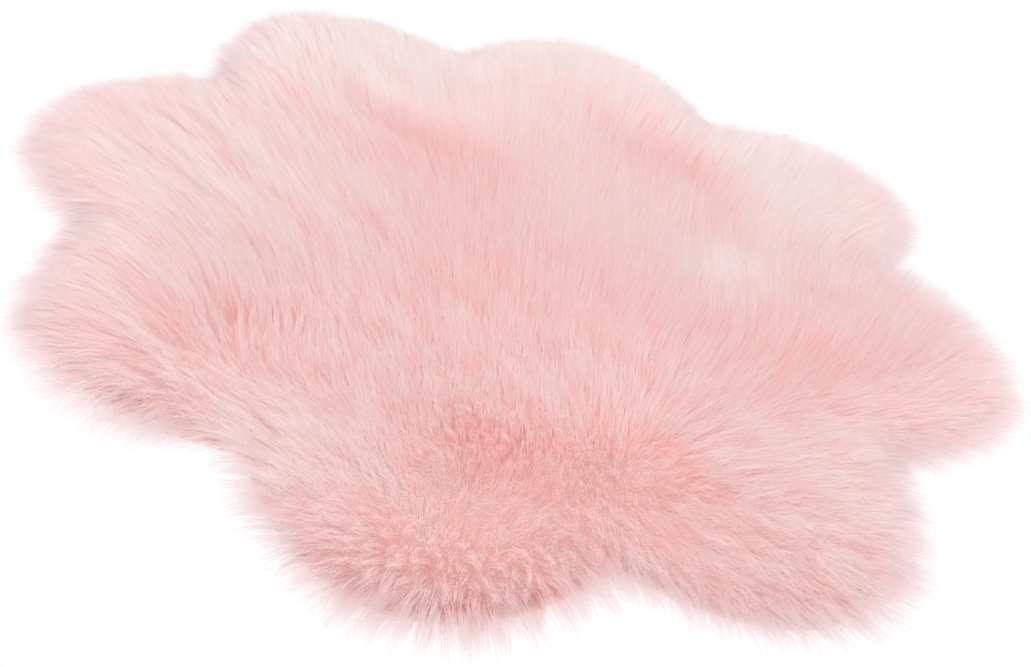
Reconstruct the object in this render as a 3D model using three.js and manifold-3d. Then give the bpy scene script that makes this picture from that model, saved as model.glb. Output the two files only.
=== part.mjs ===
// A flower-shaped rug of long-pile fur cloth, lying flat on the floor.
// Millimetres, +Z up. The origin is the middle of the flower on the floor.
// The rug is one solid: a dense, lumpy slab of pile with loose locks of hair round its rim.

import * as THREE from 'three';
import { mergeVertices } from 'three/addons/utils/BufferGeometryUtils.js';
import Module from 'manifold-3d';

// Driving dimensions
const PILE_HEIGHT = 40; // top of the pile on level ground
const RIM_HEIGHT = 10; // the dense pile's upright side at its rim
const SHOULDER_WIDTH = 58; // how far inside the rim the pile reaches its full height
const LOCK_REACH = 28; // how far the loose locks stand out past the dense pile
const NOTCH_ROUNDING = 1.19; // above 1 the notches between petals are softly rounded

// One row for each petal, clockwise from above: the direction of its tip in degrees, how far the hair
// reaches there, how far it reaches in the notch before that petal, and how much its middle is crowned.
const PETALS = [
  { name: 'upper left', angle: 135, tip: 487, notch: 404, crown: 4 },
  { name: 'top', angle: 90, tip: 478, notch: 389, crown: 5 },
  { name: 'upper right', angle: 45, tip: 497, notch: 401, crown: 5 },
  { name: 'right', angle: 0, tip: 489, notch: 420, crown: 3 },
  { name: 'lower right', angle: -45, tip: 490, notch: 400, crown: 4 },
  { name: 'bottom', angle: -90, tip: 481, notch: 409, crown: 5 },
  { name: 'lower left', angle: -135, tip: 474, notch: 402, crown: 4 },
  { name: 'left', angle: 180, tip: 483, notch: 406, crown: 4 },
];
const PETAL_ANGLE = 360 / PETALS.length;
const CROWN_RADIUS = 330; // where a petal's crown is highest
const CROWN_SPREAD = 85;

// The pile sinks along a line from each notch towards the middle of the rug.
const VALLEY_DEPTH = 9;
const VALLEY_WIDTH = 26;
const VALLEY_START = 130; // distance from the middle at which the valleys begin
const VALLEY_FULL = 340; // and at which they are fully sunk

// Places where the pile parts or is pressed down: middle, spread along and across, direction, depth.
const HOLLOWS = [
  { name: 'parting, top left', x: -150, y: 145, along: 80, across: 28, angle: -20, depth: 7 },
  { name: 'parting, top', x: 85, y: 245, along: 75, across: 26, angle: -30, depth: 8 },
  { name: 'parting, upper right', x: 180, y: 165, along: 60, across: 26, angle: -60, depth: 7 },
  { name: 'whorl, lower left', x: -192, y: -247, along: 45, across: 40, angle: 0, depth: 6 },
  { name: 'whorl, lower right', x: 147, y: -274, along: 42, across: 38, angle: 0, depth: 7 },
  { name: 'pressed patch, bottom', x: 32, y: -318, along: 48, across: 34, angle: 0, depth: 5 },
  { name: 'parting, left', x: -262, y: -30, along: 45, across: 26, angle: 70, depth: 5 },
  { name: 'dip, middle', x: -68, y: -144, along: 60, across: 34, angle: 25, depth: 4 },
];

// Soft waves that cross each other and leave the top in tufts: direction, length, height, start in degrees.
const TUFT_WAVES = [
  { angle: 12, length: 148, height: 1.8, start: 40 },
  { angle: 74, length: 117, height: 1.8, start: 200 },
  { angle: 133, length: 98, height: 1.7, start: 95 },
  { angle: 101, length: 85, height: 1.5, start: 310 },
  { angle: 38, length: 78, height: 1.4, start: 150 },
];

// The slab's net. Each ring has one step more along every petal than the ring inside it.
const RINGS = 18;
const RING_CROWDING = 0.06; // draws the rings together towards the rim
const RIM_STEPS = 40; // points along a petal's rim from which distances are measured

// Rows of loose locks round the rim. The floor row lies flat on the floor and the others droop over it.
// How many a petal has and over what share of its rim, how high a lock's underside lies at its root and at
// its point as a share of the pile's height at the root, its width and height at the root, its reach as a
// share of LOCK_REACH, and how far inside the rim its root is sunk.
const LOCK_ROWS = [
  { name: 'floor', count: 13, span: 1, root: 0, end: 0, width: 18, height: 11, reach: 1, sunk: 9 },
  { name: 'middle', count: 11, span: 0.92, root: 0.58, end: 0.45, width: 18, height: 9, reach: 0.95, sunk: 14 },
  { name: 'upper', count: 7, span: 0.66, root: 0.88, end: 0.78, width: 20, height: 9, reach: 0.5, sunk: 24 },
];
const LOCK_BEND = 0.55; // share of its length at which a lock begins to close to its point
const LOCK_BEND_SIZE = 0.72; // its width and height there, as a share of those at the root
const LOCK_SQUARE = 0.5; // 0 points every lock away from the middle of the rug, 1 square to the rim
const LOCK_SWAY = 7; // degrees that locks lean to either side
const LOCK_CHANGE = 0.16; // share by which locks are longer or shorter

const PINK = 0xf2c4c4;

const wasm = await Module();
wasm.setup();

const rad = THREE.MathUtils.degToRad;

function unit(angle) {
  return new THREE.Vector2(Math.cos(angle), Math.sin(angle));
}

function bell(x) {
  return Math.exp(-x * x);
}

// How far the hair reaches from the middle. share runs from 0 at the notch before a petal to 1 at the next.
function hairReach(petal, share) {
  const before = PETALS[petal].notch;
  const after = PETALS[(petal + 1) % PETALS.length].notch;
  const bulge = Math.sin(Math.PI * share) ** NOTCH_ROUNDING;
  return before + (after - before) * share + (PETALS[petal].tip - (before + after) / 2) * bulge;
}

// A point on the rim of the dense pile.
function rimPoint(petal, share) {
  const angle = rad(PETALS[petal].angle + PETAL_ANGLE * (0.5 - share));
  return unit(angle).multiplyScalar(hairReach(petal, share) - LOCK_REACH);
}

// The direction square to the rim, pointing out.
function rimNormal(petal, share) {
  const step = 0.002;
  const along = rimPoint(petal, share + step).sub(rimPoint(petal, share - step)).normalize();
  return new THREE.Vector2(-along.y, along.x);
}

const RIM = PETALS.flatMap((_, petal) =>
  Array.from({ length: RIM_STEPS }, (_, step) => rimPoint(petal, step / RIM_STEPS)));

function distanceToRim(point) {
  return Math.min(...RIM.map((rim) => rim.distanceTo(point)));
}

function crownAt(point) {
  return PETALS.reduce((sum, { angle, crown }) => {
    const top = unit(rad(angle)).multiplyScalar(CROWN_RADIUS);
    return sum + crown * bell(point.distanceTo(top) / CROWN_SPREAD);
  }, 0);
}

function valleyAt(point) {
  const depth = VALLEY_DEPTH * THREE.MathUtils.smoothstep(point.length(), VALLEY_START, VALLEY_FULL);
  return PETALS.reduce((sum, { angle }) => {
    const notch = unit(rad(angle + PETAL_ANGLE / 2));
    const across = notch.cross(point);
    return notch.dot(point) > 0 ? sum + depth * bell(across / VALLEY_WIDTH) : sum;
  }, 0);
}

function hollowAt(point) {
  return HOLLOWS.reduce((sum, { x, y, along, across, angle, depth }) => {
    const offset = point.clone().sub(new THREE.Vector2(x, y)).rotateAround(new THREE.Vector2(), -rad(angle));
    return sum + depth * bell(Math.hypot(offset.x / along, offset.y / across));
  }, 0);
}

function tuftsAt(point) {
  return TUFT_WAVES.reduce((sum, { angle, length, height, start }) => {
    const along = unit(rad(angle)).dot(point);
    return sum + height * Math.sin(2 * Math.PI * along / length + rad(start));
  }, 0);
}

// The height of the pile: a rounded shoulder at the rim, then crowns, valleys, hollows and tufts.
function pileHeight(point) {
  const inside = Math.min(distanceToRim(point) / SHOULDER_WIDTH, 1);
  const shoulder = Math.sqrt(1 - (1 - inside) ** 2);
  const relief = crownAt(point) - valleyAt(point) - hollowAt(point) + tuftsAt(point);
  return RIM_HEIGHT + (PILE_HEIGHT + relief - RIM_HEIGHT) * shoulder;
}

function solidFrom(vertices, faces) {
  const geometry = new THREE.BufferGeometry();
  geometry.setAttribute('position', new THREE.Float32BufferAttribute(vertices.flat(), 3));
  geometry.setIndex(faces.flat());
  const merged = mergeVertices(geometry);
  return new wasm.Manifold(new wasm.Mesh({
    numProp: 3,
    vertProperties: merged.attributes.position.array,
    triVerts: new Uint32Array(merged.index.array),
  }));
}

// The dense pile: a net of rings over the top, an upright side at the rim and a flat underside.
function makeSlab() {
  const vertices = [[0, 0, pileHeight(new THREE.Vector2())]];
  const ringStart = [0];
  for (let ring = 1; ring <= RINGS; ring++) {
    ringStart.push(vertices.length);
    const size = ring / RINGS + RING_CROWDING * Math.sin(Math.PI * ring / RINGS);
    for (let petal = 0; petal < PETALS.length; petal++) {
      for (let step = 0; step < ring; step++) {
        const point = rimPoint(petal, step / ring).multiplyScalar(size);
        vertices.push([point.x, point.y, pileHeight(point)]);
      }
    }
  }
  const onRing = (ring, step) => ringStart[ring] + (ring ? step % (ring * PETALS.length) : 0);

  const faces = [];
  for (let ring = 0; ring < RINGS; ring++) {
    for (let petal = 0; petal < PETALS.length; petal++) {
      for (let step = 0; step <= ring; step++) {
        const inner = petal * ring + step;
        const outer = petal * (ring + 1) + step;
        faces.push([onRing(ring, inner), onRing(ring + 1, outer + 1), onRing(ring + 1, outer)]);
        if (step < ring) {
          faces.push([onRing(ring, inner), onRing(ring, inner + 1), onRing(ring + 1, outer + 1)]);
        }
      }
    }
  }

  const rimCount = RINGS * PETALS.length;
  const rimStart = ringStart[RINGS];
  const footStart = vertices.length;
  for (let step = 0; step < rimCount; step++) {
    const [x, y] = vertices[rimStart + step];
    vertices.push([x, y, 0]);
  }
  const underside = vertices.length;
  vertices.push([0, 0, 0]);
  for (let step = 0; step < rimCount; step++) {
    const next = (step + 1) % rimCount;
    faces.push([rimStart + step, rimStart + next, footStart + next]);
    faces.push([rimStart + step, footStart + next, footStart + step]);
    faces.push([underside, footStart + step, footStart + next]);
  }
  return solidFrom(vertices, faces);
}

// A lock of hair: a three-sided taper from its root to its point. Its two lower edges lie level.
// turn gives each lock a sway and a length of its own.
function makeLock(row, petal, share, turn) {
  const away = rimPoint(petal, share).normalize();
  const ahead = away.lerp(rimNormal(petal, share), LOCK_SQUARE).normalize()
    .rotateAround(new THREE.Vector2(), rad(LOCK_SWAY * Math.cos(turn)));
  const side = new THREE.Vector2(-ahead.y, ahead.x);
  const root = rimPoint(petal, share).addScaledVector(ahead, -row.sunk);
  const length = row.sunk + LOCK_REACH * row.reach * (1 + LOCK_CHANGE * Math.sin(turn));
  const pile = pileHeight(root);

  const vertices = [[0, 1], [LOCK_BEND, LOCK_BEND_SIZE]].flatMap(([along, size]) => {
    const middle = root.clone().addScaledVector(ahead, along * length);
    const left = middle.clone().addScaledVector(side, size * row.width / 2);
    const right = middle.clone().addScaledVector(side, -size * row.width / 2);
    const foot = pile * THREE.MathUtils.lerp(row.root, row.end, along);
    return [[left.x, left.y, foot], [right.x, right.y, foot], [middle.x, middle.y, foot + size * row.height]];
  });
  const point = root.clone().addScaledVector(ahead, length);
  vertices.push([point.x, point.y, pile * row.end]);

  const faces = [[0, 1, 2], [3, 5, 6], [5, 4, 6], [4, 3, 6]];
  for (const [from, to] of [[0, 1], [1, 2], [2, 0]]) {
    faces.push([from, to + 3, to], [from, from + 3, to + 3]);
  }
  return solidFrom(vertices, faces);
}

function makeLocks() {
  return LOCK_ROWS.flatMap((row, number) => PETALS.flatMap((_, petal) =>
    Array.from({ length: row.count }, (_, step) => {
      const share = 0.5 + ((step + 0.5) / row.count - 0.5) * row.span;
      const turn = 2.4 * step + 1.7 * petal + number;
      return makeLock(row, petal, share, turn);
    })));
}

function makeRug() {
  const solid = makeLocks().reduce((sum, lock) => sum.add(lock), makeSlab());
  const { vertProperties, triVerts } = solid.getMesh();
  const geometry = new THREE.BufferGeometry();
  geometry.setAttribute('position', new THREE.BufferAttribute(new Float32Array(vertProperties), 3));
  geometry.setIndex(new THREE.BufferAttribute(new Uint32Array(triVerts), 1));
  geometry.computeVertexNormals();
  const material = new THREE.MeshStandardMaterial({ color: PINK, roughness: 0.95, metalness: 0 });
  const rug = new THREE.Mesh(geometry, material);
  rug.name = 'fur_rug';
  return rug;
}

const group = new THREE.Group();
group.add(makeRug());
export default group;
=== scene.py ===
"""A flower-shaped rug of long-pile fur cloth, lying flat on the floor.

Metres, +Z up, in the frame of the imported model. The knitted ground is one thin sheet, and the pile is
over two hundred thousand tapered hairs, one mesh for each petal's share of them.
"""

import math

import bpy
import numpy as np
from mathutils import Matrix, Vector
from mathutils.bvhtree import BVHTree
from mathutils.kdtree import KDTree


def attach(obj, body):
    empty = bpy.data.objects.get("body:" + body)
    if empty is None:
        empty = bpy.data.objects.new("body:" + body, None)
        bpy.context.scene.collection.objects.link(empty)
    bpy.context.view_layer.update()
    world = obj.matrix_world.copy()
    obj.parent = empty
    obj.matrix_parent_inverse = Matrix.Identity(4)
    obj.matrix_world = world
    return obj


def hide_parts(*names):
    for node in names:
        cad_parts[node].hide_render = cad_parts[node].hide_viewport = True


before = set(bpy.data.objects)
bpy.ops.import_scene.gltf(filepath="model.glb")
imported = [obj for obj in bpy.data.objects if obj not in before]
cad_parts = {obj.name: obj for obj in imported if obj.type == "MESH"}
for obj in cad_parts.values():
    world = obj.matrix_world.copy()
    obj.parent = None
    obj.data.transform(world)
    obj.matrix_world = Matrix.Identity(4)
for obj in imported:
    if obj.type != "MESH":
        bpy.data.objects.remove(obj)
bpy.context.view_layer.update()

# The flower, one row for each petal, clockwise from above: the direction of its tip in degrees, how far
# the hair reaches there and how far it reaches in the notch before that petal.
PETALS = [
    {"name": "upper_left", "angle": 135, "tip": 0.487, "notch": 0.392},
    {"name": "top", "angle": 90, "tip": 0.478, "notch": 0.389},
    {"name": "upper_right", "angle": 45, "tip": 0.493, "notch": 0.388},
    {"name": "right", "angle": 0, "tip": 0.484, "notch": 0.398},
    {"name": "lower_right", "angle": -45, "tip": 0.497, "notch": 0.396},
    {"name": "bottom", "angle": -90, "tip": 0.491, "notch": 0.418},
    {"name": "lower_left", "angle": -135, "tip": 0.470, "notch": 0.414},
    {"name": "left", "angle": 180, "tip": 0.483, "notch": 0.406},
]
NOTCH_ROUNDING = 1.19
RIM_STEPS = 200  # points along each petal's rim from which distances are measured
GROUND_STEPS = 40  # points along it in the mesh of the cloth
GROUND_RINGS = 3  # and rings of faces from the middle of the cloth to its edge

# The cloth and its hair
CLOTH_INSET = 0.027  # the cut edge of the cloth lies this far inside the reach of the hair
CLOTH_THICKNESS = 0.0022
HAIR_LENGTH = 0.052
HAIR_WIDTH = 0.0005
HAIR_WIDTHS = (0.7, 1.2)  # the thinnest and the thickest hair, as shares of that width
HAIR_SPACING = 0.00170
# How far a hair is moved from its place in the row, and an extra one at the rim, as a share of the spacing
ROW_JITTER = 0.6
EXTRA_JITTER = 0.5
# Hair that lies over near the cut edge has one point more along it than the rest
RIM_HAIR_ZONE = 0.075
INNER_HAIR = {"name": "inner", "levels": np.array([0.0, 0.5, 1.0]), "taper": np.array([1.0, 0.75])}
RIM_HAIR = {"name": "rim", "levels": np.array([0.0, 0.36, 0.7, 1.0]), "taper": np.array([1.0, 0.92, 0.68])}
# A hair's lean at its root as a share of its lean at the tip, by distance from the cut edge
ROOT_DISTANCES = [0.0, 0.020, 0.040]
ROOT_LEANS = [0.62, 0.50, 0.45]
# Its length as a share of the rest, by distance from the cut edge
LONG_DISTANCES = [0.0, 0.030]
LONG_SHARES = [0.92, 1.0]
# Extra hairs that hide the cut edge: how far inside it they begin, how many stand there for each other hair,
# and the length of the shortest as a share
FULL_RIM = {"within": 0.019, "more": 1.2, "shortest": 0.55}

# How far the hair leans away from the middle of the rug, in degrees, by distance from the middle
LEAN_DISTANCES = [0.0, 0.10, 0.20, 0.30, 0.42]
LEAN_ANGLES = [0, 16, 36, 52, 68]
RIM_ZONE = 0.11  # within this distance of the cut edge the hair turns square to it
# There it leans over more, by distance from the edge, until it droops to the floor
RIM_DISTANCES = [0.0, 0.015, 0.030, 0.110]
RIM_LEANS = [108, 97, 87, 80]
SQUARE_SHARE = 0.6  # how much of the way the hair has turned square to the cut edge where it meets it
DRIFT = (-5, -3)  # a lean that the whole pile shares, in degrees along X and Y

# Places where the hair is combed otherwise. A whorl leans it away from a point, round the lean that it has
# in its middle, a parting leans it away from a line, and a patch gives it a lean along X and Y.
WHORL_CORE = 0.5  # how fast a whorl's middle fades with the square of the distance from it
WHORL_SPREAD = 0.35  # and how fast the lean away from it does
PARTING_GAIN = 1.6  # makes up for the fading of a parting's lean
WHORLS = [
    {"name": "lower left", "x": -0.192, "y": -0.247, "size": 0.060, "middle": (-4, -8), "lean": 42},
    {"name": "lower right", "x": 0.156, "y": -0.228, "size": 0.045, "middle": (2, -54), "lean": 34},
]
PARTINGS = [
    {"name": "top left", "x": -0.143, "y": 0.140, "angle": -19, "half": 0.080, "width": 0.030, "lean": 47},
    {"name": "top", "x": 0.083, "y": 0.247, "angle": -26, "half": 0.080, "width": 0.030, "lean": 50},
    {"name": "upper right", "x": 0.165, "y": 0.183, "angle": -54, "half": 0.055, "width": 0.026, "lean": 38},
    {"name": "left", "x": -0.274, "y": -0.028, "angle": 60, "half": 0.040, "width": 0.022, "lean": 26},
    {"name": "right", "x": 0.318, "y": 0.136, "angle": 30, "half": 0.035, "width": 0.022, "lean": 26},
]
PATCHES = [
    {"name": "right half, upright", "x": 0.235, "y": 0.075, "size": (0.175, 0.160), "lean": (-16, 8)},
    {"name": "right of the middle", "x": 0.216, "y": 0.048, "size": (0.036, 0.046), "lean": (-36, 14)},
    {"name": "upper right petal", "x": 0.310, "y": 0.210, "size": (0.070, 0.060), "lean": (62, 5)},
    {"name": "middle, near side", "x": 0.090, "y": -0.150, "size": (0.080, 0.060), "lean": (-16, -22)},
    {"name": "left of the middle", "x": -0.100, "y": -0.160, "size": (0.110, 0.060), "lean": (-12, -25)},
    {"name": "bottom petal, left", "x": -0.110, "y": -0.320, "size": (0.080, 0.080), "lean": (-40, -30)},
    {"name": "bottom petal, root", "x": 0.032, "y": -0.270, "size": (0.045, 0.032), "lean": (2, -54)},
    {"name": "bottom petal, middle", "x": 0.070, "y": -0.345, "size": (0.045, 0.025), "lean": (14, -42)},
    {"name": "bottom petal, tip", "x": 0.035, "y": -0.405, "size": (0.060, 0.025), "lean": (0, -62)},
    {"name": "bottom petal, rim", "x": -0.060, "y": -0.410, "size": (0.050, 0.040), "lean": (-38, -60)},
    {"name": "lower right petal", "x": 0.270, "y": -0.320, "size": (0.120, 0.080), "lean": (30, -72)},
    {"name": "lower right, middle", "x": 0.240, "y": -0.200, "size": (0.070, 0.040), "lean": (52, -22)},
]

# Places where the locks stand out more, as small tufts with gaps between them
TUFTED = [
    {"name": "bottom petal, root", "x": 0.032, "y": -0.270, "size": (0.055, 0.038), "draw": 0.78},
    {"name": "bottom petal, tip", "x": 0.020, "y": -0.390, "size": (0.110, 0.050), "draw": 0.68},
    {"name": "lower right whorl", "x": 0.156, "y": -0.228, "size": (0.065, 0.055), "draw": 0.60},
    {"name": "lower left whorl", "x": -0.192, "y": -0.230, "size": (0.070, 0.060), "draw": 0.60},
    {"name": "left petal", "x": -0.270, "y": -0.030, "size": (0.130, 0.120), "draw": 0.50},
    {"name": "upper left petal", "x": -0.230, "y": 0.200, "size": (0.150, 0.120), "draw": 0.55},
    {"name": "top petal", "x": 0.080, "y": 0.260, "size": (0.140, 0.080), "draw": 0.35},
]

# Places where the hair is thinner and lets light in between: the shares of hairs and of width taken off
THIN = [
    {"name": "bottom", "x": 0.010, "y": -0.375, "size": (0.150, 0.068), "fewer": 0.42, "finer": 0.22},
    {"name": "bottom, root", "x": 0.032, "y": -0.290, "size": (0.070, 0.050), "fewer": 0.10, "finer": 0.10},
    {"name": "near notch", "x": 0.135, "y": -0.280, "size": (0.070, 0.060), "fewer": 0.36, "finer": 0.22},
    {"name": "lower right", "x": 0.280, "y": -0.330, "size": (0.110, 0.060), "fewer": 0.22, "finer": 0.14},
    {"name": "lower left", "x": -0.230, "y": -0.345, "size": (0.110, 0.055), "fewer": 0.24, "finer": 0.16},
]

# Places where the hair is painted paler than in the rest, as painted light, or deeper pink, as painted shade,
# as a share of the way to the pale colour
PALE_REST = 0.40
PALE_JITTER = 0.40  # by which one hair differs from the next
# Soft waves of it over the pile, as the length of a wave and the share that it adds
PALE_WAVES = [
    {"length": 0.045, "share": 0.20},
    {"length": 0.018, "share": 0.14},
]
# Painted light where these are paler, with a painted highlight right of the middle, and painted shade where
# they are deeper pink, in partings, whorls and the middle
PAINTED_LIGHT_AND_SHADE_PLACES = [
    {"name": "upper left petal", "x": -0.220, "y": 0.270, "size": (0.180, 0.120), "pale": 0.45},
    {"name": "left petal", "x": -0.290, "y": -0.020, "size": (0.130, 0.110), "pale": 0.28},
    {"name": "far notch", "x": -0.010, "y": 0.380, "size": (0.200, 0.045), "pale": 0.45},
    {"name": "upper right petal, root", "x": 0.210, "y": 0.280, "size": (0.090, 0.060), "pale": 0.50},
    {"name": "right of the middle", "x": 0.206, "y": 0.055, "size": (0.050, 0.055), "pale": 0.55},
    {"name": "right half, far side", "x": 0.250, "y": 0.200, "size": (0.070, 0.080), "pale": 0.35},
    {"name": "bottom petal, left", "x": -0.080, "y": -0.360, "size": (0.110, 0.080), "pale": 0.30},
    {"name": "bottom petal, tip", "x": 0.010, "y": -0.400, "size": (0.120, 0.050), "pale": -0.35},
    {"name": "bottom petal, root", "x": 0.032, "y": -0.270, "size": (0.055, 0.038), "pale": -0.50},
    {"name": "lower right whorl", "x": 0.156, "y": -0.228, "size": (0.060, 0.050), "pale": -0.20},
    {"name": "lower right notch", "x": 0.120, "y": -0.300, "size": (0.070, 0.050), "pale": -0.25},
    {"name": "lower left whorl", "x": -0.185, "y": -0.225, "size": (0.060, 0.050), "pale": -0.15},
    {"name": "right petal, middle", "x": 0.260, "y": -0.020, "size": (0.120, 0.080), "pale": -0.28},
    {"name": "middle, far side", "x": -0.110, "y": 0.120, "size": (0.080, 0.045), "pale": -0.75},
    {"name": "middle", "x": 0.010, "y": -0.060, "size": (0.120, 0.080), "pale": -0.30},
    {"name": "top petal, parting", "x": 0.110, "y": 0.225, "size": (0.070, 0.035), "pale": -0.75},
    {"name": "upper right parting", "x": 0.180, "y": 0.150, "size": (0.035, 0.050), "pale": -0.30},
    {"name": "lower right petal, middle", "x": 0.270, "y": -0.230, "size": (0.090, 0.070), "pale": 0.12},
]

# Locks in which the hair gathers: their spacing, how far the tips are drawn together inside and at the rim,
# as a share, and how much one lock differs from the next in lean, turn and length
LOCKS = [
    {"spacing": 0.0036, "draw": (0.26, 0.38), "lean": 3, "turn": 5, "length": 0.04},
    {"spacing": 0.0090, "draw": (0.14, 0.28), "lean": 4, "turn": 6, "length": 0.05},
]
LOCK_PLACES = (0.1, 0.9)  # where in its cell of the grid a lock's middle may lie
DRAW_POWER = 1.6  # the higher it is, the nearer to the tips the locks close
MOST_DRAWN = 0.9  # the share past which no tip is drawn in
# Soft waves in the comb, as the length of a wave, the lean and the turn that they add
WAVES = [
    {"length": 0.13, "lean": 3, "turn": 6},
    {"length": 0.05, "lean": 2, "turn": 4},
    {"length": 0.022, "lean": 3, "turn": 4},
]
WAVE_COUNT = 14  # waves that cross in each field of them
WAVE_LENGTHS = (0.7, 1.5)  # the shortest and the longest of these, as shares of the named length
WAVE_SUM = 3.7  # what their sum is divided by, so that it stays near 1
WAVE_SEED = 40
LOCK_SEED = 60
TINT_SEED = 80
HAIR_JITTER = {"lean": 8, "turn": 9, "length": 0.10}  # how much one hair differs from the next
BEND_JITTER = 0.0016  # how far a hair's middle strays from its even bend
STEEPEST_DROOP = 118  # degrees past which no hair leans
ROLL_JITTER = 50  # degrees by which the flat of a hair is turned about its length
LOWEST_HAIR = 0.0003  # no edge of a hair lies lower
RESTING_HEIGHTS = (0.0005, 0.0025)  # between which the hair that droops to the floor comes to rest

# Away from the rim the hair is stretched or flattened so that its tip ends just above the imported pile
TIP_ABOVE_PILE = 0.004
HEIGHT_SHARES = (0.8, 1.12)
HEIGHT_ZONE = 0.06  # this far inside the cut edge it does so fully

# Colours, as linear light
# From root to tip: deeper pink towards the root, as painted shade deep in the pile, and a little greyer at
# the very tip, as painted shade
HAIR_COLOURS_WITH_PAINTED_SHADE = [
    {"place": 0.0, "colour": (0.975, 0.660, 0.645, 1)},
    {"place": 0.5, "colour": (0.975, 0.785, 0.777, 1)},
    {"place": 0.82, "colour": (0.967, 0.870, 0.866, 1)},
    {"place": 1.0, "colour": (0.890, 0.790, 0.790, 1)},
]
PALE_HAIR = (0.960, 0.925, 0.920, 1)
# Painted shade: the loose ends at the rim are given a greyer pink
RIM_SHADED_PINK = (0.900, 0.805, 0.811, 1)  # the loose ends at the rim look a little greyer
RIM_SHADE_STARTS = 0.006  # so far inside the cut edge
LIGHT_THROUGH = 0.70  # the share of light that a hair lets through
# The ground's pink, deeper than the hair, partly as painted shade where it shows deep in the pile
GROUND_PINK = (0.800, 0.560, 0.545, 1)
# The stitches of the ground: how fine their ribs and rows are, how deep, and how dark the painted shade in
# between
KNIT = {"ribs": 200, "rows": 260, "uneven": 1.2, "depth": 0.0006, "relief": 0.6, "painted_shade": 0.86}
KNIT_ROUGHNESS = 0.9
WHITE = (1.0, 1.0, 1.0, 1)

FLOOR_HALF = 40.0  # half the floor's side
FLOOR_GAP = 0.0006  # by which it lies lower than the cloth

# The light: a pale dome, broad soft lights on it, each with the direction that it comes from, and a floor
# that glows evenly, so that nothing throws a shadow on it
DOME_STRENGTH = 0.38
SOFT_LIGHTS = [
    {"name": "above", "from": (0.0, 0.0, 1.0), "strength": 3.30, "narrow": 5},
    {"name": "low front", "from": (0.04, -0.97, 0.25), "strength": 3.20, "narrow": 5},
]

# After so many scatterings, light is taken to come from all around, but where a surface lies nearer than this
SCATTERINGS = 2
SCATTERED_FROM = 0.003

# The camera, at the photograph's viewing angle, in degrees. Its picture is taken to be 1031 by 667 pixels.
IMAGE_WIDTH = 1031
CAMERA_AZIMUTH, CAMERA_ELEVATION, CAMERA_ROLL = 2.551, 36.374, 15.17
CAMERA_DISTANCE = 1.275
CAMERA_TARGET = (0.0187, -0.106, 0.0)
FOCAL_PIXELS = 1423.8
SENSOR_WIDTH = 36.0

TINY = 1e-6  # stands in for zero where something is divided by a length or a height

rng = np.random.default_rng(7)


def unit(degrees):
    angle = np.radians(degrees)
    return np.stack([np.cos(angle), np.sin(angle)], -1)


def smoothstep(x):
    x = np.clip(x, 0, 1)
    return x * x * (3 - 2 * x)


# The flower's outline

PETAL_ANGLE = 360 / len(PETALS)
TIPS = np.array([petal["tip"] for petal in PETALS])
NOTCHES = np.array([petal["notch"] for petal in PETALS])


def petal_and_share(points):
    """The number of each point's petal, and how far it lies across it, from notch 0 to notch 1."""
    angle = np.degrees(np.arctan2(points[:, 1], points[:, 0]))
    clockwise = (PETALS[0]["angle"] + PETAL_ANGLE / 2 - angle) % 360 / PETAL_ANGLE
    petal = np.minimum(clockwise.astype(int), len(PETALS) - 1)
    return petal, clockwise - petal


def hair_reach(petal, share):
    before = NOTCHES[petal]
    after = NOTCHES[(petal + 1) % len(PETALS)]
    bulge = np.sin(np.pi * share) ** NOTCH_ROUNDING
    return before + (after - before) * share + (TIPS[petal] - (before + after) / 2) * bulge


def cloth_edge(steps):
    """Points round the cut edge of the cloth, clockwise, so many to a petal."""
    petal = np.repeat(np.arange(len(PETALS)), steps)
    share = np.tile(np.arange(steps) / steps, len(PETALS))
    degrees = PETALS[0]["angle"] + PETAL_ANGLE * (0.5 - petal - share)
    return unit(degrees) * (hair_reach(petal, share) - CLOTH_INSET)[:, None]


EDGE = cloth_edge(RIM_STEPS)
EDGE_ALONG = np.roll(EDGE, -1, 0) - np.roll(EDGE, 1, 0)
EDGE_OUT = np.stack([-EDGE_ALONG[:, 1], EDGE_ALONG[:, 0]], 1)
EDGE_OUT /= np.linalg.norm(EDGE_OUT, axis=1, keepdims=True)
EDGE_TREE = KDTree(len(EDGE))
for number, (x, y) in enumerate(EDGE):
    EDGE_TREE.insert((x, y, 0), number)
EDGE_TREE.balance()


def nearest_edge(points):
    """Each point's distance to the cut edge, and the direction square to the edge there."""
    found = [EDGE_TREE.find((x, y, 0))[1:] for x, y in points.tolist()]
    nearest, distance = np.array(found).T
    return distance, EDGE_OUT[nearest.astype(int)]


# How the hair is combed

def wave_noise(points, length, seed):
    """Smooth noise from about -1 to 1, made of crossing waves of about that length."""
    waves = np.random.default_rng(seed)
    total = np.zeros(len(points))
    for _ in range(WAVE_COUNT):
        direction = unit(waves.uniform(0, 360))
        pitch = length * waves.uniform(*WAVE_LENGTHS)
        total += np.sin(2 * np.pi * (points @ direction) / pitch + waves.uniform(0, 2 * np.pi))
    return total / WAVE_SUM


def within(points, place):
    """How far each point belongs to a place, from 1 in its middle to 0 well outside."""
    offset = (points - (place["x"], place["y"])) / place["size"]
    return np.exp(-(offset**2).sum(1))


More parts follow.
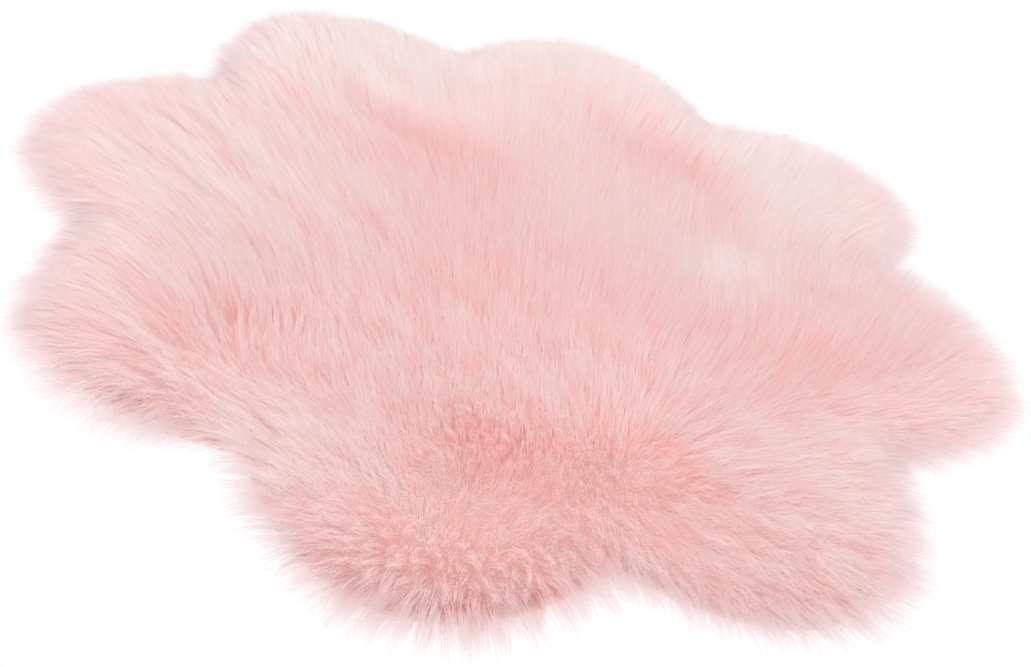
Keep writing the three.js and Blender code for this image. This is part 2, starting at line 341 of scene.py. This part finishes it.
def comb(points):
    """The lean of the hair at each point, as a vector in degrees along X and Y."""
    away = np.linalg.norm(points, axis=1)
    radial = points / np.maximum(away, TINY)[:, None]
    distance, square = nearest_edge(points)
    near = smoothstep(1 - distance / RIM_ZONE)
    squared = (SQUARE_SHARE * near)[:, None]
    direction = radial * (1 - squared) + square * squared
    direction /= np.linalg.norm(direction, axis=1, keepdims=True)
    lean = np.interp(away, LEAN_DISTANCES, LEAN_ANGLES)
    lean += (np.interp(distance, RIM_DISTANCES, RIM_LEANS) - lean) * near
    vector = direction * lean[:, None] + np.array(DRIFT) * (1 - near)[:, None]

    for whorl in WHORLS:
        offset = (points - (whorl["x"], whorl["y"])) / whorl["size"]
        far = np.linalg.norm(offset, axis=1)[:, None]
        share = np.exp(-WHORL_CORE * far**2)
        vector = vector * (1 - share) + np.array(whorl["middle"]) * share
        vector += whorl["lean"] * offset * np.exp(-WHORL_SPREAD * far**2)
    for parting in PARTINGS:
        along = unit(parting["angle"])
        across = np.array([-along[1], along[0]])
        offset = points - (parting["x"], parting["y"])
        side = offset @ across / parting["width"]
        share = np.exp(-((offset @ along / parting["half"]) ** 2) - side**2)
        vector += across * (parting["lean"] * PARTING_GAIN * side * share)[:, None]
    for patch in PATCHES:
        share = within(points, patch)[:, None]
        vector = vector * (1 - share) + np.array(patch["lean"]) * share
    return vector


def turned(vector, lean, turn):
    """The comb with so many degrees of lean added, and turned by so many degrees."""
    size = np.linalg.norm(vector, axis=1)
    angle = np.arctan2(vector[:, 1], vector[:, 0]) + np.radians(turn)
    size = np.clip(size + lean, 0, STEEPEST_DROOP)
    return np.stack([np.cos(angle), np.sin(angle)], 1) * size[:, None]


# The hairs

def pile_height(points):
    """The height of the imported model's pile over each point."""
    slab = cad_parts["fur_rug"].data
    corners = [vertex.co for vertex in slab.vertices]
    tree = BVHTree.FromPolygons(corners, [tuple(face.vertices) for face in slab.polygons])
    down = Vector((0, 0, -1))
    hits = (tree.ray_cast(Vector((x, y, 1.0)), down)[0] for x, y in points)
    return np.array([hit.z if hit else 0.0 for hit in hits])


def hair_roots():
    """Points over the whole cloth, in shaken rows, then extra ones at the rim, and how many those are."""
    reach = TIPS.max()
    row_height = HAIR_SPACING * math.sqrt(3) / 2
    rows = int(2 * reach / row_height)
    columns = int(2 * reach / HAIR_SPACING)
    row, column = np.mgrid[0:rows, 0:columns]
    x = (column + 0.5 * (row % 2)) * HAIR_SPACING - reach
    y = row * row_height - reach
    points = np.stack([x.ravel(), y.ravel()], 1)
    points += rng.uniform(-ROW_JITTER, ROW_JITTER, points.shape) * HAIR_SPACING
    fewer = sum(place["fewer"] * within(points, place) for place in THIN)
    points = points[rng.random(len(points)) > fewer]
    petal, share = petal_and_share(points)
    to_edge = hair_reach(petal, share) - CLOTH_INSET - np.linalg.norm(points, axis=1)
    at_edge = points[(to_edge > 0) & (to_edge < FULL_RIM["within"])]
    extra = np.repeat(at_edge, rng.poisson(FULL_RIM["more"], len(at_edge)), axis=0)
    extra += rng.uniform(-EXTRA_JITTER, EXTRA_JITTER, extra.shape) * HAIR_SPACING
    return np.concatenate([points[to_edge > 0], extra]), len(extra)


def hair_paths(roots, vector, length, root_share, levels):
    """Each hair's points from root to tip, bending over from near upright to its lean."""
    lean = np.linalg.norm(vector, axis=1)
    direction = vector / np.maximum(lean, TINY)[:, None]
    paths = np.zeros((len(roots), len(levels), 3))
    paths[:, 0, :2] = roots
    paths[:, 0, 2] = CLOTH_THICKNESS
    for level in range(1, len(levels)):
        middle = (levels[level] + levels[level - 1]) / 2
        angle = np.radians(lean * (root_share + (1 - root_share) * middle))
        step = length * (levels[level] - levels[level - 1])
        paths[:, level, :2] = paths[:, level - 1, :2] + direction * (np.sin(angle) * step)[:, None]
        paths[:, level, 2] = paths[:, level - 1, 2] + np.cos(angle) * step
    return paths


def nearest_lock(points, spacing, seed):
    """The number of each point's lock and the locks' middles, one in each cell of a shaken grid."""
    cells = np.floor(points / spacing).astype(int)
    low = cells.min(0) - 1
    size = cells.max(0) - low + 2
    shaken = np.random.default_rng(seed).uniform(*LOCK_PLACES, (*size, 2))
    best = np.full(len(points), np.inf)
    found = np.zeros(len(points), int)
    places = np.zeros((len(points), 2))
    for across in (-1, 0, 1):
        for up in (-1, 0, 1):
            cell = cells - low + (across, up)
            place = (cell + low + shaken[cell[:, 0], cell[:, 1]]) * spacing
            apart = ((points - place) ** 2).sum(1)
            closer = apart < best
            best[closer] = apart[closer]
            places[closer] = place[closer]
            found[closer] = (cell[:, 0] * size[1] + cell[:, 1])[closer]
    first, lock = np.unique(found, return_index=True, return_inverse=True)[1:]
    return lock.reshape(-1), places[first]


def combed(points):
    """The comb with its soft waves."""
    vector = comb(points)
    for number, wave in enumerate(WAVES):
        seed = WAVE_SEED + 2 * number
        lean = wave["lean"] * wave_noise(points, wave["length"], seed)
        turn = wave["turn"] * wave_noise(points, wave["length"], seed + 1)
        vector = turned(vector, lean, turn)
    return vector


def lean_at_root(points):
    """A hair's lean at its root, as a share of its lean at the tip."""
    return np.interp(nearest_edge(points)[0], ROOT_DISTANCES, ROOT_LEANS)


def hair_length(points):
    return HAIR_LENGTH * np.interp(nearest_edge(points)[0], LONG_DISTANCES, LONG_SHARES)


def comb_hairs(roots, extra):
    """The root, lean, length and root's lean of each hair, and the same for the locks that draw it in.

    The last hairs, so many as extra says, are of all lengths.
    """
    count = len(roots)
    shorter = np.ones(count)
    shorter[count - extra:] = rng.uniform(FULL_RIM["shortest"], 1, extra)
    vector = turned(
        combed(roots),
        rng.normal(0, HAIR_JITTER["lean"], count),
        rng.normal(0, HAIR_JITTER["turn"], count),
    )
    length = hair_length(roots) * shorter * (1 + rng.normal(0, HAIR_JITTER["length"], count))
    strands = [(roots, vector, length, lean_at_root(roots))]
    for number, row in enumerate(LOCKS):
        lock, middles = nearest_lock(roots, row["spacing"], LOCK_SEED + number)
        locks = len(middles)
        guide = turned(
            combed(middles),
            rng.normal(0, row["lean"], locks),
            rng.normal(0, row["turn"], locks),
        )
        guide_length = hair_length(middles) * (1 + rng.normal(0, row["length"], locks))
        root_share = lean_at_root(middles)
        strands.append((middles[lock], guide[lock], guide_length[lock] * shorter, root_share[lock]))
    return strands


def make_hairs(kind, picked, strands, rim_distance, height):
    """The points of the picked hairs, from root to tip."""
    levels = kind["levels"]
    picks = [[values[picked] for values in strand] for strand in strands]
    paths = hair_paths(*picks[0], levels)
    bend = rng.normal(0, BEND_JITTER, (len(paths), 1, 3))
    paths += bend * (4 * levels * (1 - levels))[None, :, None]
    draw = (levels**DRAW_POWER)[None, :, None]
    near = smoothstep(1 - rim_distance[picked] / RIM_ZONE)
    tufted = sum(place["draw"] * within(picks[0][0], place) for place in TUFTED)
    for row, strand in zip(LOCKS, picks[1:]):
        inner, outer = row["draw"]
        share = np.minimum(inner + (outer - inner) * near + tufted, MOST_DRAWN)
        paths += (hair_paths(*strand, levels) - paths) * share[:, None, None] * draw

    wanted = (height[picked] + TIP_ABOVE_PILE) / np.maximum(paths[:, -1, 2], TINY)
    inside = smoothstep(rim_distance[picked] / HEIGHT_ZONE)
    scale = 1 + (np.clip(wanted, *HEIGHT_SHARES) - 1) * inside
    paths[:, :, 2] = CLOTH_THICKNESS + (paths[:, :, 2] - CLOTH_THICKNESS) * scale[:, None]
    lowest, highest = RESTING_HEIGHTS
    resting = lowest + (highest - lowest) * rng.random(len(paths))
    paths[:, 1:, 2] = np.maximum(paths[:, 1:, 2], resting[:, None])
    return paths


def new_mesh(name, points, faces_of):
    """A mesh from points and rows of faces that each have the same number of corners."""
    mesh = bpy.data.meshes.new(name)
    mesh.vertices.add(len(points))
    mesh.vertices.foreach_set("co", points.astype(np.float32).ravel())
    corners = np.concatenate([faces.ravel() for faces in faces_of])
    sizes = np.concatenate([np.full(len(faces), faces.shape[1]) for faces in faces_of])
    mesh.loops.add(len(corners))
    mesh.loops.foreach_set("vertex_index", corners.astype(np.int32))
    mesh.polygons.add(len(sizes))
    starts = np.concatenate([[0], np.cumsum(sizes)[:-1]])
    mesh.polygons.foreach_set("loop_start", starts.astype(np.int32))
    mesh.polygons.foreach_set("use_smooth", np.ones(len(sizes), bool))
    mesh.update(calc_edges=True)
    mesh.validate()
    return mesh


def ribbons(kind, paths):
    """Flat, tapering hairs with a pointed end: their points, faces and the points' places along them."""
    count, levels = paths.shape[:2]
    tangent = np.gradient(paths, axis=1)
    tangent /= np.maximum(np.linalg.norm(tangent, axis=2, keepdims=True), TINY)
    lean = paths[:, -1, :2] - paths[:, 0, :2]
    flat = np.stack([-lean[:, 1], lean[:, 0], np.zeros(count)], 1)
    flat /= np.maximum(np.linalg.norm(flat, axis=1, keepdims=True), TINY)
    roll = np.radians(rng.normal(0, ROLL_JITTER, count))[:, None, None]
    side = np.cross(tangent, flat[:, None])
    across = np.cos(roll) * flat[:, None] + np.sin(roll) * side
    wide = 1 - sum(place["finer"] * within(paths[:, 0, :2], place) for place in THIN)
    wide *= rng.uniform(*HAIR_WIDTHS, count)
    half = HAIR_WIDTH / 2 * kind["taper"][None, :, None] * wide[:, None, None]
    left = paths[:, :-1] + across[:, :-1] * half
    right = paths[:, :-1] - across[:, :-1] * half
    left[..., 2] = np.maximum(left[..., 2], LOWEST_HAIR)
    right[..., 2] = np.maximum(right[..., 2], LOWEST_HAIR)

    each = 2 * (levels - 1) + 1
    points = np.empty((count, each, 3))
    points[:, 0:-1:2] = left
    points[:, 1:-1:2] = right
    points[:, -1] = paths[:, -1]
    start = (np.arange(count) * each)[:, None]
    quads = [start + np.array([2 * n, 2 * n + 1, 2 * n + 3, 2 * n + 2]) for n in range(levels - 2)]
    ends = start + np.array([each - 3, each - 2, each - 1])
    along = np.repeat(kind["levels"], [2] * (levels - 1) + [1])
    points = points.reshape(-1, 3)
    petal, share = petal_and_share(points[:, :2])
    # Painted shade: the hair turns greyer from a little inside the cut edge out to its reach
    fringe = CLOTH_INSET + RIM_SHADE_STARTS
    past = np.linalg.norm(points[:, :2], axis=1) - hair_reach(petal, share) + fringe
    # The pale share: painted light and shade in places, and the hair's own tone in soft waves and from one
    # hair to the next
    pale = PALE_REST + sum(place["pale"] * within(paths[:, 0, :2], place) for place in PAINTED_LIGHT_AND_SHADE_PLACES)
    for number, wave in enumerate(PALE_WAVES):
        pale += wave["share"] * wave_noise(paths[:, 0, :2], wave["length"], TINT_SEED + number)
    pale += rng.uniform(-0.5, 0.5, count) * PALE_JITTER
    return {
        "points": points,
        "quads": np.concatenate(quads),
        "ends": ends,
        "along": np.tile(along, count),
        "pale": np.repeat(np.clip(pale, 0, 1), each),
        "rim_shade": np.clip(past / fringe, 0, 1),
    }


def hair_mesh(name, groups):
    """One mesh from the ribbons of each kind of hair."""
    made = [ribbons(kind, paths) for kind, paths in groups]
    before = np.cumsum([0] + [len(group["points"]) for group in made])
    faces = [
        np.concatenate([group[key] + first for group, first in zip(made, before)])
        for key in ("quads", "ends")
    ]
    mesh = new_mesh(name, np.concatenate([group["points"] for group in made]), faces)
    for key in ("along", "pale", "rim_shade"):
        attribute = mesh.attributes.new(key, "FLOAT", "POINT")
        values = np.concatenate([group[key] for group in made])
        attribute.data.foreach_set("value", values.astype(np.float32))
    return mesh


# Materials

def new_material(name):
    material = bpy.data.materials.new(name)
    material.use_nodes = True
    nodes = material.node_tree.nodes
    nodes.clear()
    return material, nodes, material.node_tree.links


def fur_material():
    """Silky hair with light coming through it: deeper pink at the root as painted shade, pale at the tip."""
    material, nodes, links = new_material("fur_hair")
    along = nodes.new("ShaderNodeAttribute")
    along.attribute_name = "along"
    ramp = nodes.new("ShaderNodeValToRGB")
    ramp.color_ramp.elements[0].color = HAIR_COLOURS_WITH_PAINTED_SHADE[0]["colour"]
    ramp.color_ramp.elements[1].color = HAIR_COLOURS_WITH_PAINTED_SHADE[-1]["colour"]
    for stop in HAIR_COLOURS_WITH_PAINTED_SHADE[1:-1]:
        ramp.color_ramp.elements.new(stop["place"]).color = stop["colour"]
    links.new(along.outputs["Fac"], ramp.inputs["Fac"])
    colour = ramp.outputs["Color"]
    # The pale share mixes the hair's own tone with painted light and shade; the rim share greys the loose
    # ends as painted shade
    for key, towards in (("pale", PALE_HAIR), ("rim_shade", RIM_SHADED_PINK)):
        share = nodes.new("ShaderNodeAttribute")
        share.attribute_name = key
        mixed = nodes.new("ShaderNodeMix")
        mixed.data_type = "RGBA"
        links.new(share.outputs["Fac"], mixed.inputs["Factor"])
        links.new(colour, mixed.inputs["A"])
        mixed.inputs["B"].default_value = towards
        colour = mixed.outputs["Result"]
    surface = nodes.new("ShaderNodeBsdfDiffuse")
    links.new(colour, surface.inputs["Color"])
    through = nodes.new("ShaderNodeBsdfTranslucent")
    links.new(colour, through.inputs["Color"])
    mix = nodes.new("ShaderNodeMixShader")
    mix.inputs["Fac"].default_value = LIGHT_THROUGH
    links.new(surface.outputs["BSDF"], mix.inputs[1])
    links.new(through.outputs["BSDF"], mix.inputs[2])
    output = nodes.new("ShaderNodeOutputMaterial")
    links.new(mix.outputs["Shader"], output.inputs["Surface"])
    return material


def ground_material():
    """The knitted ground of the cloth: fine ribs of stitches, darker between them as painted shade, seen only
    from below.
    """
    material, nodes, links = new_material("knitted_ground")
    place = nodes.new("ShaderNodeTexCoord")
    ribs = nodes.new("ShaderNodeTexWave")
    ribs.inputs["Scale"].default_value = KNIT["ribs"]
    ribs.inputs["Distortion"].default_value = KNIT["uneven"]
    links.new(place.outputs["Object"], ribs.inputs["Vector"])
    rows = nodes.new("ShaderNodeTexWave")
    rows.bands_direction = "Y"
    rows.inputs["Scale"].default_value = KNIT["rows"]
    links.new(place.outputs["Object"], rows.inputs["Vector"])
    stitches = nodes.new("ShaderNodeMath")
    stitches.operation = "MULTIPLY"
    links.new(ribs.outputs["Fac"], stitches.inputs[0])
    links.new(rows.outputs["Fac"], stitches.inputs[1])
    bump = nodes.new("ShaderNodeBump")
    bump.inputs["Strength"].default_value = KNIT["relief"]
    bump.inputs["Distance"].default_value = KNIT["depth"]
    links.new(stitches.outputs["Value"], bump.inputs["Height"])
    # Painted shade: the ground is darker where the stitches sink
    tint = nodes.new("ShaderNodeMix")
    tint.data_type = "RGBA"
    tint.inputs["A"].default_value = tuple(KNIT["painted_shade"] * v for v in GROUND_PINK[:3]) + (1,)
    tint.inputs["B"].default_value = GROUND_PINK
    links.new(stitches.outputs["Value"], tint.inputs["Factor"])
    surface = nodes.new("ShaderNodeBsdfPrincipled")
    surface.inputs["Roughness"].default_value = KNIT_ROUGHNESS
    links.new(tint.outputs["Result"], surface.inputs["Base Color"])
    links.new(bump.outputs["Normal"], surface.inputs["Normal"])
    output = nodes.new("ShaderNodeOutputMaterial")
    links.new(surface.outputs["BSDF"], output.inputs["Surface"])
    return material


def floor_material():
    """An even white glow. The hair meets so much of it that it needn't be sampled as a lamp."""
    material, nodes, links = new_material("studio_floor")
    material.cycles.emission_sampling = "NONE"
    surface = nodes.new("ShaderNodeEmission")
    surface.inputs["Color"].default_value = WHITE
    output = nodes.new("ShaderNodeOutputMaterial")
    links.new(surface.outputs["Emission"], output.inputs["Surface"])
    return material


# The pieces

def add_piece(name, mesh, material):
    piece = bpy.data.objects.new(name, mesh)
    bpy.context.scene.collection.objects.link(piece)
    piece.data.materials.append(material)
    return piece


def add_fur(material):
    """The hair, one mesh for each petal."""
    roots, extra = hair_roots()
    strands = comb_hairs(roots, extra)
    petal = petal_and_share(roots)[0]
    rim_distance = nearest_edge(roots)[0]
    height = pile_height(roots)
    at_rim = rim_distance < RIM_HAIR_ZONE
    pieces = []
    for number, row in enumerate(PETALS):
        groups = []
        for kind, zone in ((INNER_HAIR, ~at_rim), (RIM_HAIR, at_rim)):
            picked = (petal == number) & zone
            groups.append((kind, make_hairs(kind, picked, strands, rim_distance, height)))
        name = "pile_" + row["name"]
        piece = add_piece(name, hair_mesh(name, groups), material)
        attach(piece, "root")
        pieces.append(piece)
    return pieces


def add_ground(material):
    """The knitted ground: the flower cut from thin cloth, as a closed sheet."""
    rim = cloth_edge(GROUND_STEPS)
    around = len(rim)
    rings = [rim * ring / GROUND_RINGS for ring in range(1, GROUND_RINGS + 1)]
    flat = np.concatenate([np.zeros((1, 2))] + rings)
    count = len(flat)
    points = np.concatenate([
        np.column_stack([flat, np.full(count, CLOTH_THICKNESS)]),
        np.column_stack([flat, np.zeros(count)]),
    ])
    here = np.arange(around)
    ahead = (here + 1) % around
    inner_fan = np.stack([np.zeros(around, int), 1 + ahead, 1 + here], 1)
    fans = [inner_fan, (inner_fan + count)[:, ::-1]]
    faces = []
    for ring in range(GROUND_RINGS - 1):
        inside, outside = 1 + ring * around, 1 + (ring + 1) * around
        band = np.stack([inside + here, inside + ahead, outside + ahead, outside + here], 1)
        faces += [band, (band + count)[:, ::-1]]
    last = 1 + (GROUND_RINGS - 1) * around
    faces.append(np.stack([last + here, last + ahead, last + ahead + count, last + here + count], 1))
    mesh = new_mesh("knitted_ground", points, [np.concatenate(faces), np.concatenate(fans)])
    ground = add_piece("knitted_ground", mesh, material)
    mesh.polygons.foreach_set("use_smooth", np.zeros(len(mesh.polygons), bool))
    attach(ground, "root")
    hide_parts("fur_rug")
    return ground, rim


# The camera, the light and the floor

def add_camera():
    azimuth, elevation, roll = map(math.radians, (CAMERA_AZIMUTH, CAMERA_ELEVATION, CAMERA_ROLL))
    back = Vector((
        math.sin(azimuth) * math.cos(elevation),
        -math.cos(azimuth) * math.cos(elevation),
        math.sin(elevation),
    ))
    level = Vector((math.cos(azimuth), math.sin(azimuth), 0))
    above = back.cross(level)
    right = math.cos(roll) * level + math.sin(roll) * above
    up = math.cos(roll) * above - math.sin(roll) * level
    data = bpy.data.cameras.new("camera")
    data.sensor_fit = "HORIZONTAL"
    data.sensor_width = SENSOR_WIDTH
    data.lens = SENSOR_WIDTH * FOCAL_PIXELS / IMAGE_WIDTH
    camera = bpy.data.objects.new("camera", data)
    camera.matrix_world = Matrix((
        (right.x, up.x, back.x, 0),
        (right.y, up.y, back.y, 0),
        (right.z, up.z, back.z, 0),
        (0, 0, 0, 1),
    ))
    camera.location = Vector(CAMERA_TARGET) + back * CAMERA_DISTANCE
    bpy.context.scene.collection.objects.link(camera)
    bpy.context.scene.camera = camera


def add_dome():
    """A pale dome all round, brighter towards each soft light."""
    world = bpy.data.worlds.new("studio")
    world.use_nodes = True
    world.cycles.sampling_method = "NONE"
    nodes, links = world.node_tree.nodes, world.node_tree.links
    background = nodes["Background"]
    direction = nodes.new("ShaderNodeTexCoord").outputs["Generated"]
    total = None
    for light in SOFT_LIGHTS:
        facing = nodes.new("ShaderNodeVectorMath")
        facing.operation = "DOT_PRODUCT"
        facing.inputs[1].default_value = Vector(light["from"]).normalized()
        links.new(direction, facing.inputs[0])
        lit = nodes.new("ShaderNodeMath")
        lit.operation = "MAXIMUM"
        lit.inputs[1].default_value = 0
        links.new(facing.outputs["Value"], lit.inputs[0])
        lobe = nodes.new("ShaderNodeMath")
        lobe.operation = "POWER"
        lobe.inputs[1].default_value = light["narrow"]
        links.new(lit.outputs["Value"], lobe.inputs[0])
        share = nodes.new("ShaderNodeMath")
        share.operation = "MULTIPLY_ADD"
        share.inputs[1].default_value = light["strength"]
        links.new(lobe.outputs["Value"], share.inputs[0])
        if total is None:
            share.inputs[2].default_value = DOME_STRENGTH
        else:
            links.new(total, share.inputs[2])
        total = share.outputs["Value"]
    links.new(total, background.inputs["Strength"])
    background.inputs["Color"].default_value = WHITE
    bpy.context.scene.world = world


def add_studio():
    half = FLOOR_HALF
    points = np.array([(-half, -half, 0), (half, -half, 0), (half, half, 0), (-half, half, 0)])
    mesh = new_mesh("studio_floor", points, [np.array([[0, 1, 2, 3]])])
    floor = add_piece("studio_floor", mesh, floor_material())
    floor.location.z = -FLOOR_GAP
    add_dome()
    cycles = bpy.context.scene.cycles
    cycles.use_fast_gi = True
    cycles.fast_gi_method = "REPLACE"
    cycles.ao_bounces = cycles.ao_bounces_render = SCATTERINGS
    bpy.context.scene.world.light_settings.distance = SCATTERED_FROM
    bpy.context.scene.view_settings.view_transform = "Standard"


add_camera()
add_studio()
ground, rim = add_ground(ground_material())
fur = add_fur(fur_material())

bpy.context.view_layer.update()
